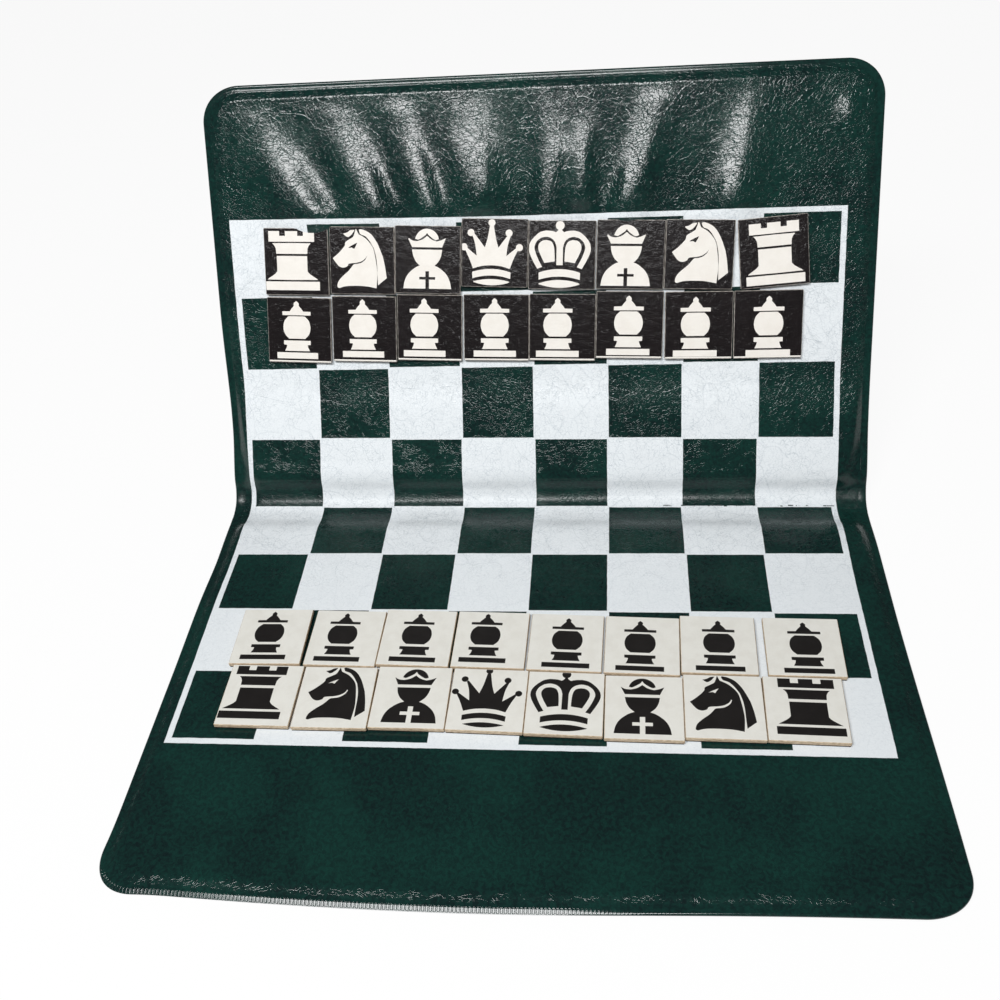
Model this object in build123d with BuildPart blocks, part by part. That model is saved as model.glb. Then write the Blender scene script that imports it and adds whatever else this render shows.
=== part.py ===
from build123d import *
import math
import os

os.makedirs("parts", exist_ok=True)

# A travel chess set: a welded vinyl wallet with a steel sheet in each cover, and 32 magnetic tiles.
# X runs across the covers, Y away from the player and Z up. The near cover lies flat on the table,
# and the far one leans back. The origin is at the bottom centre of the whole set. Sizes in
# millimetres.

# Wallet
cover_width = 193.0
panel_length = 121.5
spine_width = 13.0
corner_radius = 10.5
panel_thickness = 3.0
skin_thickness = 0.45
rim_width = 3.0
crease_rim = 1.5
crease_gap = 0.2
pad_corner = 2.0

# Slope of each section from flat, in degrees: the spine rises a little, the far cover leans back
spine_rise = 5.0
back_rise = 62.0

# Inside each cover
steel_thickness = 0.3
pocket_clearance = 0.3

# Board print: its margins to the cover's sides, its border line, and the distance from each
# crease to the first line between two rows that lies on that cover
left_margin = 5.4
right_margin = 8.9
print_border = 1.35
near_first_line = 14.9
far_first_line = 17.1

# Tiles: how much smaller than a square they are, and their two layers
tile_margin = 2.6
card_thickness = 1.1
magnet_thickness = 0.5
tile_corner = 0.3

# Where each row of tiles starts and lies. A start is the middle of the tile on file a, from the
# print's left edge, and a shift is how far the row lies beyond the middle of its squares.
black_officers_start = 19.5
black_pawns_start = 18.9
white_pawns_start = 20.3
white_officers_start = 21.9
black_pawns_shift = 0.5
white_officers_shift = 1.0
black_row_gap = 1.0
white_row_gap = 0.45

# How the tiles lie in each row, from file a to file h, read off the photograph and rounded by
# hand: the gap to the tile on the left, the shift towards the far side, and the turn in degrees,
# counter-clockwise.
black_officers_lie = [
    (0.0, 0.3, -2.0), (0.5, 0.1, -2.0), (0.1, -0.2, -2.5), (0.4, 1.2, -2.5),
    (0.1, 0.1, -2.0), (0.3, -0.3, -2.0), (0.2, -0.8, -2.0), (0.5, -0.6, 4.0),
]
black_pawns_lie = [
    (0.0, 0.5, -2.5), (0.5, 0.4, -2.0), (0.4, 0.4, -2.0), (0.5, 0.0, -1.5),
    (0.1, -0.3, -1.5), (0.2, 0.0, -1.5), (0.4, -0.5, -0.5), (0.3, -0.6, 0.0),
]
white_pawns_lie = [
    (0.0, 0.9, 0.5), (0.9, 0.6, -1.0), (0.1, 0.9, -1.5), (0.5, 0.5, -1.5),
    (0.5, -0.2, -2.0), (0.5, -0.9, -2.0), (0.1, -0.5, -1.5), (2.1, -0.9, -1.0),
]
white_officers_lie = [
    (0.0, 0.9, -0.5), (0.4, 0.6, 0.0), (0.2, 0.9, -0.5), (0.1, 0.5, -1.5),
    (0.1, -0.2, -1.5), (0.1, -1.1, -1.0), (0.1, -0.5, -1.0), (0.1, -0.8, -1.5),
]

# Sizes that follow from those
half_thickness = panel_thickness / 2
skin_rise = half_thickness - skin_thickness
pad_radius = max(corner_radius - rim_width, pad_corner)
pocket_radius = max(pad_radius - skin_rise, pad_corner)
pocket_inset = rim_width + skin_rise + pocket_clearance
pocket_crease_inset = crease_rim + skin_rise + pocket_clearance
stiffener_thickness = 2 * skin_rise - steel_thickness
bevel_depth = skin_thickness * 0.9
bevel_reach = skin_thickness * 1.1
square = (cover_width - left_margin - right_margin - 2 * print_border) / 8
tile_size = square - tile_margin
spine_run = spine_width * math.cos(math.radians(spine_rise))
spine_climb = spine_width * math.sin(math.radians(spine_rise))
back_run = panel_length * math.cos(math.radians(back_rise))
rim_overhang = skin_thickness * math.sin(math.radians(back_rise))
near_crease_y = (panel_length - spine_run - back_run - rim_overhang) / 2


def sloping_plane(y, z, rise):
    """Weld plane of a section that starts at a crease and rises towards the far side."""
    tilt = math.radians(rise)
    return Plane(origin=(0, y, z), x_dir=(1, 0, 0), z_dir=(0, -math.sin(tilt), math.cos(tilt)))


def under_side(plane):
    """The same plane seen from below, with its Y direction unchanged."""
    return Plane(origin=plane.origin, x_dir=-plane.x_dir, z_dir=-plane.z_dir)


# Weld planes. Each has its origin at a crease and its Y direction along the section. The near
# cover is drawn from its crease towards the player, and the board on it away from the player.
near_board = sloping_plane(near_crease_y, half_thickness, 0)
near_cover = Plane(origin=near_board.origin, x_dir=(-1, 0, 0), z_dir=(0, 0, 1))
spine = sloping_plane(near_crease_y, half_thickness, spine_rise)
far_cover = sloping_plane(near_crease_y + spine_run, half_thickness + spine_climb, back_rise)
covers = (("base", near_cover), ("back", far_cover))


def cover_outline(inset, crease_inset, free_radius, crease_radius):
    """Outline of a cover in its weld plane, with its own radius at the free and the crease corners."""
    length = panel_length - inset - crease_inset
    with Locations((0, crease_inset + length / 2)):
        outline = Rectangle(cover_width - 2 * inset, length)
    fillet(outline.vertices().group_by(Axis.Y)[-1], free_radius)
    if crease_radius:
        fillet(outline.vertices().group_by(Axis.Y)[0], crease_radius)


def write(piece, name):
    """Label one finished piece and write its file."""
    piece.label = name
    export_step(piece, f"parts/{name}.step")


# Vinyl sheets of the two covers: a flat rim that is welded to the other sheet, and a tray that
# stands off the weld plane to hold the steel and the board. A face sheet is bevelled at its
# crease, so that the fold closes freely.
for cover_name, cover in covers:
    for side_name, side in (("face", cover), ("back", under_side(cover))):
        with BuildPart() as skin:
            with BuildSketch(side):
                cover_outline(0, crease_gap, corner_radius, 0)
            extrude(amount=skin_thickness)
            with BuildSketch(side.offset(skin_thickness)):
                cover_outline(rim_width, crease_rim, pad_radius, pad_corner)
            extrude(amount=skin_rise, taper=45)
            with BuildSketch(side):
                cover_outline(rim_width, crease_rim, pad_radius, pad_corner)
            extrude(amount=skin_rise, taper=45, mode=Mode.SUBTRACT)
            if side_name == "face":
                crease_top = side.from_local_coords((0, crease_gap, skin_thickness))
                rim_top = skin.faces().filter_by(side).sort_by_distance(crease_top)[0]
                crease_edge = rim_top.edges().sort_by_distance(crease_top)[0]
                chamfer(crease_edge, length=bevel_reach, length2=bevel_depth, reference=rim_top)
        write(skin.part, f"{cover_name}_{side_name}_skin")

# Steel sheet right under the face sheet, and the stiffening board that fills the rest of the pocket
for cover_name, cover in covers:
    with BuildPart() as stiffener:
        with BuildSketch(cover.offset(-skin_rise)):
            cover_outline(pocket_inset, pocket_crease_inset, pocket_radius, pad_corner)
        extrude(amount=stiffener_thickness)
    write(stiffener.part, f"{cover_name}_stiffener")

    with BuildPart() as steel_sheet:
        with BuildSketch(cover.offset(skin_rise - steel_thickness)):
            cover_outline(pocket_inset, pocket_crease_inset, pocket_radius, pad_corner)
        extrude(amount=steel_thickness)
    write(steel_sheet.part, f"{cover_name}_steel_sheet")

# Vinyl sheets of the spine, two plain strips between the creases
for side_name, side in (("face", spine), ("back", under_side(spine))):
    with BuildPart() as strip:
        with BuildSketch(side):
            with Locations((0, spine_width / 2)):
                Rectangle(cover_width, spine_width - 2 * crease_gap)
        extrude(amount=skin_thickness)
        if side_name == "face":
            top_middle = side.from_local_coords((0, spine_width / 2, skin_thickness))
            strip_top = strip.faces().filter_by(side).sort_by_distance(top_middle)[0]
            crease_edges = strip_top.edges().sort_by(SortBy.LENGTH)[-2:]
            chamfer(crease_edges, length=bevel_reach, length2=bevel_depth, reference=strip_top)
    write(strip.part, f"spine_{side_name}_skin")


def step_to_next(turn, next_turn, gap):
    """Distance between the middles of two tiles side by side, whichever way each is turned."""
    swing = math.radians(abs(next_turn - turn))
    return tile_size * (1 + math.cos(swing) + math.sin(swing)) / 2 + gap


def make_row(board, names, start, line, lie):
    """Make one row of tiles on a board, each a printed card on a magnet sheet."""
    middle = start + left_margin - cover_width / 2
    turn_before = lie[0][2]
    for count, (name, (gap, shift, turn)) in enumerate(zip(names, lie)):
        if count:
            middle += step_to_next(turn_before, turn, gap)
        turn_before = turn
        seat = Plane(board * Location((middle, line + shift, half_thickness), (0, 0, turn)))
        with BuildPart() as magnet:
            with BuildSketch(seat):
                RectangleRounded(tile_size, tile_size, tile_corner)
            extrude(amount=magnet_thickness)
        with BuildPart() as card:
            with BuildSketch(seat.offset(magnet_thickness)):
                RectangleRounded(tile_size, tile_size, tile_corner)
            extrude(amount=card_thickness)
        write(Compound(children=[magnet.part, card.part]), name)


# Tiles. The two rows of one side lie against each other, the pawns towards the middle.
files = "abcdefgh"
officers = ("rook_a", "knight_b", "bishop_c", "queen", "king", "bishop_f", "knight_g", "rook_h")
pawns = [f"pawn_{file}" for file in files]
black_pawns_line = far_first_line + 1.5 * square + black_pawns_shift
black_officers_line = black_pawns_line + tile_size + black_row_gap
white_officers_line = -near_first_line - 2.5 * square + white_officers_shift
white_pawns_line = white_officers_line + tile_size + white_row_gap
for board, side_name, names, start, line, lie in (
    (far_cover, "black", officers, black_officers_start, black_officers_line, black_officers_lie),
    (far_cover, "black", pawns, black_pawns_start, black_pawns_line, black_pawns_lie),
    (near_board, "white", pawns, white_pawns_start, white_pawns_line, white_pawns_lie),
    (near_board, "white", officers, white_officers_start, white_officers_line, white_officers_lie),
):
    make_row(board, [f"{side_name}_{name}" for name in names], start, line, lie)
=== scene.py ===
"""Looks of a travel chess set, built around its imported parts.

A folding vinyl wallet carries a board that is printed across its two covers, and 32 magnetic tiles
lie on it. X runs across the covers, Y away from the player and Z up. Sizes are in millimetres, and
MM turns them into Blender's metres. A place on the flat wallet is given by how far it lies across
the wallet and how far along it, from the crease at the near cover towards the far cover.
"""

import logging
import math
from collections.abc import Callable, Sequence
from dataclasses import dataclass, field, replace
from enum import Enum

import bpy
import numpy as np
from mathutils import Euler, Matrix, Vector
from mathutils.geometry import delaunay_2d_cdt

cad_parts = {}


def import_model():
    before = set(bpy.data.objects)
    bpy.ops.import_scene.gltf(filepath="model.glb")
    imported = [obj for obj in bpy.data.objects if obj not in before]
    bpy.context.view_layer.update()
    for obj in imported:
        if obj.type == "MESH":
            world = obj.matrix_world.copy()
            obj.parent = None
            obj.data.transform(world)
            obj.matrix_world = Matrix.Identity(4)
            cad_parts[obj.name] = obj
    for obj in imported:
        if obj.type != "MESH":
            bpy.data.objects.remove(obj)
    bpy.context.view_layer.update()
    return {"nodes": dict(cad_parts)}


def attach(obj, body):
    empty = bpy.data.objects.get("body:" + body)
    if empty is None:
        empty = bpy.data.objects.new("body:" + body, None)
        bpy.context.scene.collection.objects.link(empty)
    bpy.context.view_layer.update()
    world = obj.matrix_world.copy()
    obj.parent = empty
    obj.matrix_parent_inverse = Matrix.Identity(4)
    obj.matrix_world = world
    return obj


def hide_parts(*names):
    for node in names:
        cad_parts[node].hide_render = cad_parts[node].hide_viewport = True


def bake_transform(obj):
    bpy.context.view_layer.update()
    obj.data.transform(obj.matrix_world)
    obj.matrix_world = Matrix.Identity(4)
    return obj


MM = 0.001
FLAT_MAP = "Flat"
EDGE_MAP = "Edge"

log = logging.getLogger("chess_set")

Point = tuple[float, float]
Outline = list[Point]
Colour = tuple[float, float, float]


def paint(red: int, green: int, blue: int) -> Colour:
    """Turn a colour as a screen shows it, from 0 to 255, into the numbers that a shader takes.

    Args:
        red: Red as shown.
        green: Green as shown.
        blue: Blue as shown.

    Returns:
        The colour in linear light.
    """

    def linear(shown: int) -> float:
        """Linear light of one channel."""
        share = shown / 255
        return share / 12.92 if share <= 0.04045 else ((share + 0.055) / 1.055) ** 2.4

    return linear(red), linear(green), linear(blue)


def ease(value: np.ndarray, low: float, high: float) -> np.ndarray:
    """Rise smoothly from 0 to 1 while a value goes from low to high, which may be the smaller one."""
    share = np.clip((value - low) / (high - low), 0, 1)
    return share * share * (3 - 2 * share)


def curve_weights(share: np.ndarray | float) -> tuple[np.ndarray | float, ...]:
    """Weights that a smooth curve gives to its start, its end and the slopes at the two."""
    cube, square = share**3, share**2
    return 2 * cube - 3 * square + 1, 3 * square - 2 * cube, cube - 2 * square + share, cube - square


def show(name: str, data: bpy.types.ID) -> bpy.types.Object:
    """Put a mesh, a lamp or a camera in the scene.

    Args:
        name: Name of its object.
        data: The mesh, or the lamp's or the camera's own data.

    Returns:
        The object.
    """
    made = bpy.data.objects.new(name, data)
    bpy.context.scene.collection.objects.link(made)
    return made


# Patterns of the finishes


class Field:
    """A number that varies over a surface, with the sums that a finish is written in."""

    def __init__(self, pattern: "Pattern", socket: bpy.types.NodeSocket) -> None:
        """Wrap one output of a node."""
        self.pattern = pattern
        self.socket = socket

    def _maths(self, operation: str, *others: "Field | float") -> "Field":
        """Apply one of Blender's math operations."""
        return self.pattern.maths(operation, self, *others)

    def __add__(self, other: "Field | float") -> "Field":
        """Sum of two fields."""
        return self._maths("ADD", other)

    def __sub__(self, other: "Field | float") -> "Field":
        """Difference of two fields."""
        return self._maths("SUBTRACT", other)

    def __mul__(self, other: "Field | float") -> "Field":
        """Product of two fields."""
        return self._maths("MULTIPLY", other)

    def __truediv__(self, other: "Field | float") -> "Field":
        """Quotient of two fields."""
        return self._maths("DIVIDE", other)

    def size(self) -> "Field":
        """Distance from zero."""
        return self._maths("ABSOLUTE")

    def whole(self) -> "Field":
        """Whole part, rounded down."""
        return self._maths("FLOOR")

    def rest(self) -> "Field":
        """What is left above the whole part."""
        return self._maths("FRACT")

    def sine(self) -> "Field":
        """Sine of the field in radians."""
        return self._maths("SINE")

    def most(self, other: "Field | float") -> "Field":
        """Larger of two fields."""
        return self._maths("MAXIMUM", other)

    def opposite(self) -> "Field":
        """One minus the field."""
        return self.pattern.maths("SUBTRACT", 1.0, self)

    def rise(self, low: float, high: float) -> "Field":
        """Rise smoothly from 0 to 1 while the field goes from low to high.

        Args:
            low: Where the rise starts.
            high: Where it ends, which may be the smaller of the two.

        Returns:
            The share as a field.
        """
        made = self.pattern.node("ShaderNodeMapRange", interpolation_type="SMOOTHSTEP")
        self.pattern.feed(made.inputs["Value"], self)
        made.inputs["From Min"].default_value = min(low, high)
        made.inputs["From Max"].default_value = max(low, high)
        made.inputs["To Min"].default_value = float(low > high)
        made.inputs["To Max"].default_value = float(low <= high)
        return Field(self.pattern, made.outputs["Result"])


class Pattern:
    """Node tree of one material, written as sums over places on the surface."""

    def __init__(self, name: str) -> None:
        """Start a material that is still empty.

        Args:
            name: Name of the material.
        """
        self.material = bpy.data.materials.new(name)
        self.material.use_nodes = True
        self.tree = self.material.node_tree
        self.tree.nodes.clear()

    def node(self, kind: str, **settings: object) -> bpy.types.Node:
        """Add a node and set its own properties.

        Args:
            kind: Blender's name of the node type.
            **settings: Properties of the node.

        Returns:
            The new node.
        """
        made = self.tree.nodes.new(kind)
        for name, value in settings.items():
            setattr(made, name, value)
        return made

    def feed(self, socket: bpy.types.NodeSocket, value: object) -> None:
        """Link a field or an output to an input, or set the input to a number.

        Args:
            socket: The input.
            value: A field, an output socket, a number or a colour.
        """
        if isinstance(value, Field):
            self.tree.links.new(value.socket, socket)
        elif isinstance(value, bpy.types.NodeSocket):
            self.tree.links.new(value, socket)
        elif isinstance(value, tuple) and len(value) == 3 and socket.type == "RGBA":
            socket.default_value = (*value, 1.0)
        else:
            socket.default_value = value

    def maths(self, operation: str, *values: "Field | float") -> Field:
        """Apply a math operation to fields and numbers.

        Args:
            operation: Blender's name of the operation.
            *values: Its operands, in order.

        Returns:
            The result as a field.
        """
        made = self.node("ShaderNodeMath", operation=operation)
        for socket, value in zip(made.inputs, values):
            self.feed(socket, value)
        return Field(self, made.outputs[0])

    def place(self, layer: str) -> bpy.types.NodeSocket:
        """Places that a map of the mesh stores, in millimetres."""
        return self.node("ShaderNodeUVMap", uv_map=layer).outputs["UV"]

    def parts(self, place: bpy.types.NodeSocket) -> tuple[Field, Field]:
        """First and second number of a place.

        Args:
            place: A vector output.

        Returns:
            The two numbers as fields.
        """
        made = self.node("ShaderNodeSeparateXYZ")
        self.feed(made.inputs[0], place)
        return Field(self, made.outputs[0]), Field(self, made.outputs[1])

    def vector(self, operation: str, first: object, second: object) -> bpy.types.NodeSocket:
        """Apply a vector operation to two places.

        Args:
            operation: Blender's name of the operation.
            first: A vector output or three numbers.
            second: A vector output or three numbers.

        Returns:
            The resulting places.
        """
        made = self.node("ShaderNodeVectorMath", operation=operation)
        self.feed(made.inputs[0], first)
        self.feed(made.inputs[1], second)
        return made.outputs[0]

    def noise(
        self, place: bpy.types.NodeSocket, size: float, detail: float, rough: float
    ) -> bpy.types.bpy_prop_collection:
        """Random blotches.

        Args:
            place: The places that they lie on.
            size: Size of one blotch.
            detail: How many finer layers they have.
            rough: How strong the finer layers are.

        Returns:
            The outputs of the noise: one number as "Fac", and three of their own as "Color".
        """
        made = self.node("ShaderNodeTexNoise", noise_dimensions="2D")
        self.feed(made.inputs["Vector"], place)
        made.inputs["Scale"].default_value = 1 / size
        made.inputs["Detail"].default_value = detail
        made.inputs["Roughness"].default_value = rough
        return made.outputs

    def stir(self, place: bpy.types.NodeSocket, size: float, reach: float) -> bpy.types.NodeSocket:
        """Shift places about at random, so that a pattern on them bends.

        Args:
            place: The places.
            size: Size of the bends.
            reach: How far a place moves at most.

        Returns:
            The shifted places.
        """
        shift = self.vector("SUBTRACT", self.noise(place, size, 1.0, 0.5)["Color"], (0.5, 0.5, 0.5))
        shift = self.vector("MULTIPLY", shift, (2 * reach, 2 * reach, 2 * reach))
        return self.vector("ADD", place, shift)

    def stretch(self, place: bpy.types.NodeSocket, across: float, along: float) -> bpy.types.NodeSocket:
        """Stretch places, so that a pattern on them is longer one way."""
        return self.vector("DIVIDE", place, (across, along, 1.0))

    def clouds(
        self, place: bpy.types.NodeSocket, size: float, detail: float = 2.0, rough: float = 0.5
    ) -> Field:
        """Soft random blotches, as a field round one half."""
        return Field(self, self.noise(place, size, detail, rough)["Fac"])

    def cracks(self, place: bpy.types.NodeSocket, size: float) -> Field:
        """Distance to the borders of random cells.

        Args:
            place: The places that they lie on.
            size: Size of one cell.

        Returns:
            The distance as a share of a cell, 0 on a border.
        """
        made = self.node("ShaderNodeTexVoronoi", voronoi_dimensions="2D", feature="DISTANCE_TO_EDGE")
        self.feed(made.inputs["Vector"], place)
        made.inputs["Scale"].default_value = 1 / size
        return Field(self, made.outputs["Distance"])

    def mix(self, share: Field, first: object, second: object) -> bpy.types.NodeSocket:
        """Mix two colours.

        Args:
            share: How much of the second there is.
            first: A colour or a colour output.
            second: A colour or a colour output.

        Returns:
            The mixed colour's output.
        """
        made = self.node("ShaderNodeMix", data_type="RGBA")
        inputs = [socket for socket in made.inputs if socket.type == "RGBA"]
        self.feed(made.inputs["Factor"], share)
        self.feed(inputs[0], first)
        self.feed(inputs[1], second)
        return next(socket for socket in made.outputs if socket.type == "RGBA")

    def relief(self, height: Field, depth: float) -> bpy.types.NodeSocket:
        """Shade fine relief.

        Args:
            height: Height as a share of the depth.
            depth: Depth of the relief in millimetres.

        Returns:
            The normal's output.
        """
        made = self.node("ShaderNodeBump")
        self.feed(made.inputs["Height"], height)
        made.inputs["Distance"].default_value = depth * MM
        return made.outputs["Normal"]

    def finish(self, **inputs: object) -> None:
        """End the tree with one glossy surface.

        Args:
            **inputs: Values of the surface's inputs, with underscores for spaces.
        """
        surface = self.node("ShaderNodeBsdfPrincipled")
        for name, value in inputs.items():
            self.feed(surface.inputs[name.replace("_", " ")], value)
        self.end(surface.outputs[0])

    def end(self, shader: bpy.types.NodeSocket) -> None:
        """Show a shader on the surface."""
        output = self.node("ShaderNodeOutputMaterial")
        self.feed(output.inputs["Surface"], shader)


# Finishes


@dataclass(frozen=True)
class BoardPrint:
    """White squares of the board, printed on the vinyl.

    Attributes:
        left: Left edge of the print, across the wallet.
        far: Far edge of the print, along the wallet.
        border: Width of the line round the board.
        square: Size of a square.
        gap: White gap between two dark squares that meet at a corner.
        blur: How soft the print's edges are.
        crack: Where the folded ink is cracked, along the wallet.
        drawn_least: How much the farthest row is drawn in at the left.
        drawn_more: How much more it is drawn in at the right.
        drawn_from: Where that starts and where it is full, across the wallet.
        wobble: How far the print's edges wander.
    """

    left: float = -91.1
    far: float = 96.44
    border: float = 1.35
    square: float = 22.0
    gap: float = 0.52
    blur: float = 0.07
    crack: float = 7.4
    drawn_least: float = 0.45
    drawn_more: float = 1.5
    drawn_from: tuple[float, float] = (-110.0, 0.0)
    wobble: float = 0.08

    def cover(self, pattern: Pattern, place: bpy.types.NodeSocket) -> Field:
        """Lay out the print.

        Args:
            pattern: The material that it goes in.
            place: Places on the flat wallet.

        Returns:
            A field that is 1 where there is white ink.
        """
        across, along = pattern.parts(pattern.stir(place, 3.0, self.wobble))
        last_row = self.far - self.border - self.square
        drawn_in = across.rise(*self.drawn_from) * self.drawn_more + self.drawn_least
        along = along + drawn_in * ((along - last_row) / self.square).most(0.0)
        column = (across - (self.left + self.border)) / self.square
        row = (along * -1.0 + (self.far - self.border)) / self.square
        board = 8 * self.square
        half_board, half_square = board / 2, self.square / 2
        to_side = (column * self.square - half_board).size()
        to_end = (row * self.square - half_board).size()
        from_middle = to_side.most(to_end)
        printed = from_middle.rise(half_board + self.border + self.blur, half_board + self.border - self.blur)
        on_board = from_middle.rise(half_board + self.blur, half_board - self.blur)
        odd = ((column.whole() + row.whole()) / 2.0).rest() * 2.0
        from_square = (column.rest() - 0.5).size().most((row.rest() - 0.5).size()) * self.square
        inset = half_square - self.gap / 2
        dark = from_square.rise(inset + self.blur, inset - self.blur) * odd * on_board
        return printed * dark.opposite() * self.cracked(pattern, place).opposite()

    def cracked(self, pattern: Pattern, place: bpy.types.NodeSocket) -> Field:
        """Find the fine cracks that folding has left in the print along the crease.

        Args:
            pattern: The material that it goes in.
            place: Places on the flat wallet.

        Returns:
            A field that is 1 where the ink is gone.
        """
        across, along = pattern.parts(pattern.stir(place, 4.0, 0.5))
        line = (along - self.crack).size().rise(0.28, 0.08)
        broken = pattern.clouds(pattern.stretch(place, 3.0, 30.0), 1.0, 3.0, 0.7).rise(0.54, 0.6)
        return line * broken * across.rise(20.0, 45.0)


class Finish:
    """What every finish does: it lays itself out in a new material."""

    def build(self, name: str) -> bpy.types.Material:
        """Build the material.

        Args:
            name: Name of the material.

        Returns:
            The material.
        """
        pattern = Pattern(name)
        self.lay_out(pattern)
        return pattern.material

    def lay_out(self, pattern: Pattern) -> None:
        """Lay out the finish in a material that is still empty."""
        raise NotImplementedError


@dataclass(frozen=True)
class VinylFinish(Finish):
    """Dark green vinyl with a crinkled leather grain.

    Attributes:
        deep: Colour in the deeper patches.
        fresh: Colour in the greener patches.
        ink: Colour of the white print.
        ink_shaded_and_mottled: Colour of the print with painted shade in the dips of the grain, and in its
            random mottling.
        gloss: Roughness of the plain vinyl.
        sheen: Strength of its reflections.
        depth: Depth of the grain.
        wrinkle: Distance between fine wrinkles.
        fold: Distance between folds.
        crease: Distance between long creases.
        tick: Distance between the ticks pressed into the weld.
        board: The print, or None on the outside.
    """

    deep: Colour = paint(14, 29, 30)
    fresh: Colour = paint(19, 57, 50)
    ink: Colour = paint(231, 236, 239)
    # Darker ink: painted shade for the grain's dips, and random mottling of the print
    ink_shaded_and_mottled: Colour = paint(186, 195, 201)
    gloss: float = 0.1
    sheen: float = 0.32
    depth: float = 0.14
    wrinkle: float = 0.98
    fold: float = 2.6
    crease: float = 11.0
    tick: float = 0.86
    board: BoardPrint | None = None

    def grain(self, pattern: Pattern, place: bpy.types.NodeSocket) -> tuple[Field, Field]:
        """Crinkled grain: fine wrinkles in patches, folds across them and a few long creases.

        Args:
            pattern: The material that it goes in.
            place: Places on the flat wallet.

        Returns:
            The grain's height, and a field that is high in its dips and 0 between them.
        """
        bent = pattern.stir(pattern.stir(place, 9.0, 2.5), 1.8, 0.7)
        patchy = pattern.clouds(place, 6.0, 2.0).rise(0.36, 0.6) * 0.5 + 0.5
        broken = pattern.clouds(pattern.stretch(bent, 1.2, 0.8), 1.6, 1.0).rise(0.34, 0.5)
        wrinkles = pattern.cracks(pattern.stretch(bent, 1.1, 0.62), self.wrinkle).rise(0.14, 0.0)
        wrinkles = wrinkles * (broken * 0.85 + 0.15)
        leaning = pattern.stretch(pattern.stir(place, 5.0, 2.2), 0.8, 1.5)
        folds = pattern.cracks(leaning, self.fold).rise(0.08, 0.0)
        creases = pattern.cracks(pattern.stir(place, 14.0, 6.0), self.crease).rise(0.024, 0.0)
        pebbles = pattern.clouds(place, 0.6, 1.0, 0.5)
        dips = (wrinkles * 0.3 + folds * 0.13) * patchy + creases * 0.15
        return pebbles * 0.12 - dips, dips * 3.0

    def weld(self, pattern: Pattern, place: bpy.types.NodeSocket, height: Field) -> Field:
        """Smooth the grain at the rim, and press the weld's ticks into its near edge.

        Args:
            pattern: The material that it goes in.
            place: Places on the flat wallet.
            height: Height of the grain.

        Returns:
            The height with the weld in it.
        """
        across, along = pattern.parts(place)
        from_edge, round_edge = pattern.parts(pattern.place(EDGE_MAP))
        height = height * (from_edge.rise(1.4, 3.2) * 0.75 + 0.25)
        ticks = ((round_edge * (2 * math.pi / self.tick)).sine() * 0.5 + 0.5).rise(0.0, 0.6)
        strip = from_edge.rise(0.1, 0.2) * from_edge.rise(1.3, 1.1)
        pressed = across.rise(45.0, -20.0) * along.rise(-112.0, -118.5)
        return height * strip.opposite() + ticks * strip * pressed * 0.5

    def lay_out(self, pattern: Pattern) -> None:
        """Lay out the grain, the weld and the print.

        Args:
            pattern: The material that they go in.
        """
        place = pattern.place(FLAT_MAP)
        height, dips = self.grain(pattern, place)
        patches = pattern.clouds(place, 26.0, 3.0, 0.55).rise(0.36, 0.66)
        specks = pattern.clouds(pattern.stir(place, 1.5, 0.8), 1.0, 3.0, 0.6)
        green = patches * 0.3 + specks.rise(0.3, 0.7) * 0.45 + dips * 0.22
        colour = pattern.mix(green, self.deep, self.fresh)
        rough = specks * 0.03 + (patches * 0.02 + self.gloss)
        _, along = pattern.parts(place)
        # The grain is fainter on the near cover, and pulled flat where the vinyl rolls up to the far one
        taut = along.rise(8.0, 14.0) * along.rise(46.0, 30.0)
        lively = along.rise(-40.0, 5.0) * 0.7 + 0.3
        height = height * lively * (taut * -0.65 + 1.0)
        # Folding has dulled the vinyl in the dip
        rough = rough + along.rise(4.0, 7.0) * along.rise(18.0, 12.0) * 0.16
        height = self.weld(pattern, place, height)
        if self.board:
            ink = self.board.cover(pattern, place)
            # Painted shade: the white ink is darkened in the grain's dips, and it is also mottled at random
            # by the specks
            dip_shade_and_mottle = dips * lively * 0.65 + (specks - 0.5).size() * 0.7
            colour = pattern.mix(ink, colour, pattern.mix(dip_shade_and_mottle, self.ink, self.ink_shaded_and_mottled))
            height = height * (ink * -0.1 + 1.0)
            rough = rough + ink * 0.14
        pattern.finish(
            Base_Color=colour,
            Roughness=rough,
            Specular_IOR_Level=self.sheen,
            Normal=pattern.relief(height, self.depth),
        )


class Side(Enum):
    """The two sides of the game."""

    WHITE = "white"
    BLACK = "black"


@dataclass(frozen=True)
class CardFinish(Finish):
    """Face of a tile: plain card, or ink printed on it.

    Attributes:
        colour: Main colour.
        shade: Colour of the blotches in it.
        gloss: Roughness of the surface.
        depth: Depth of the texture.
        grain: Size of the texture.
    """

    colour: Colour
    shade: Colour
    gloss: float = 0.42
    depth: float = 0.012
    grain: float = 0.5

    def lay_out(self, pattern: Pattern) -> None:
        """Lay out the blotches and the fine texture.

        Args:
            pattern: The material that they go in.
        """
        place = pattern.place(FLAT_MAP)
        bent = pattern.stir(place, 2.0, 0.5)
        texture = pattern.clouds(pattern.stretch(bent, 1.5, 0.8), self.grain, 2.0, 0.6)
        blotches = pattern.clouds(place, 4.0, 4.0, 0.6).rise(0.35, 0.7)
        pattern.finish(
            Base_Color=pattern.mix(blotches * 0.6 + texture * 0.4, self.colour, self.shade),
            Roughness=texture * 0.12 + self.gloss,
            Specular_IOR_Level=0.5,
            Normal=pattern.relief(texture, self.depth),
        )


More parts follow.
